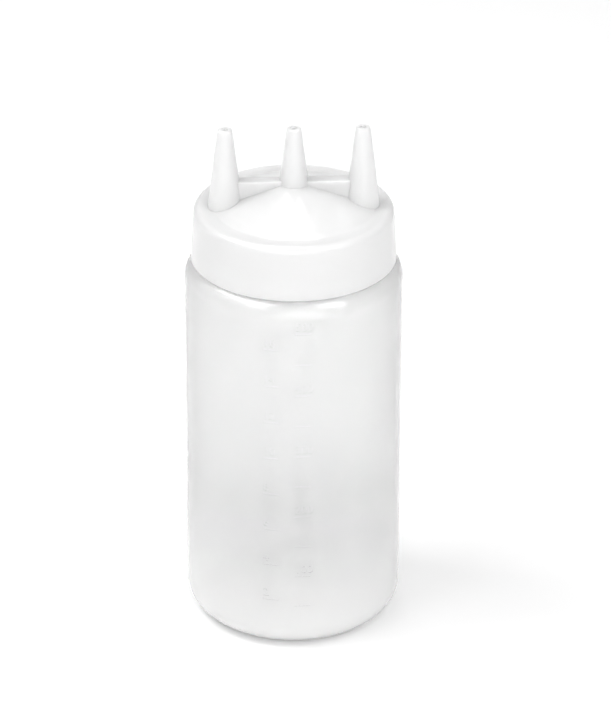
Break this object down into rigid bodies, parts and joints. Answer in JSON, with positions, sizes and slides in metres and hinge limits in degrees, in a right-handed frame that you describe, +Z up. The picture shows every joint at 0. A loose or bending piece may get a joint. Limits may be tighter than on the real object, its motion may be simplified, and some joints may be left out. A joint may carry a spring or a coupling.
{
  "type": "squeeze bottle",
  "caption": "Milky wide-mouth squeeze bottle for sauces, with a screw cap that carries a row of cone tips for pouring parallel lines, and a raised volume scale.",
  "frame": {"origin": "centre of the base, on the plane the bottle stands on", "axes": "+Z up along the bottle's axis; the three tips lie in a row along X; the volume scale is on the -Y side"},
  "size_m": [0.076, 0.0763, 0.1862],
  "materials": {
    "bottle_plastic": "soft satin, milky and translucent",
    "cap_plastic": "soft satin, milky white"
  },
  "bodies": {
    "bottle": {"bottle": "bottle_plastic", "graduation_marks": "bottle_plastic"},
    "seal": {"seal_ring": "cap_plastic"},
    "cap": {"three_tip_cap": "cap_plastic"}
  },
  "joints": [
    {"name": "cap_lift", "type": "slide", "parent": "bottle", "child": "seal", "axis": [0, 0, 1], "range_m": [0, 0.0053]},
    {"name": "cap_turn", "type": "hinge", "parent": "seal", "child": "cap", "pos_m": [0, 0, 0.15], "axis": [0, 0, 1], "range_deg": [0, 450]}
  ],
  "couplings": [
    {"joint": "cap_lift", "follows": "cap_turn", "m_per_rad": 0.0006737}
  ]
}
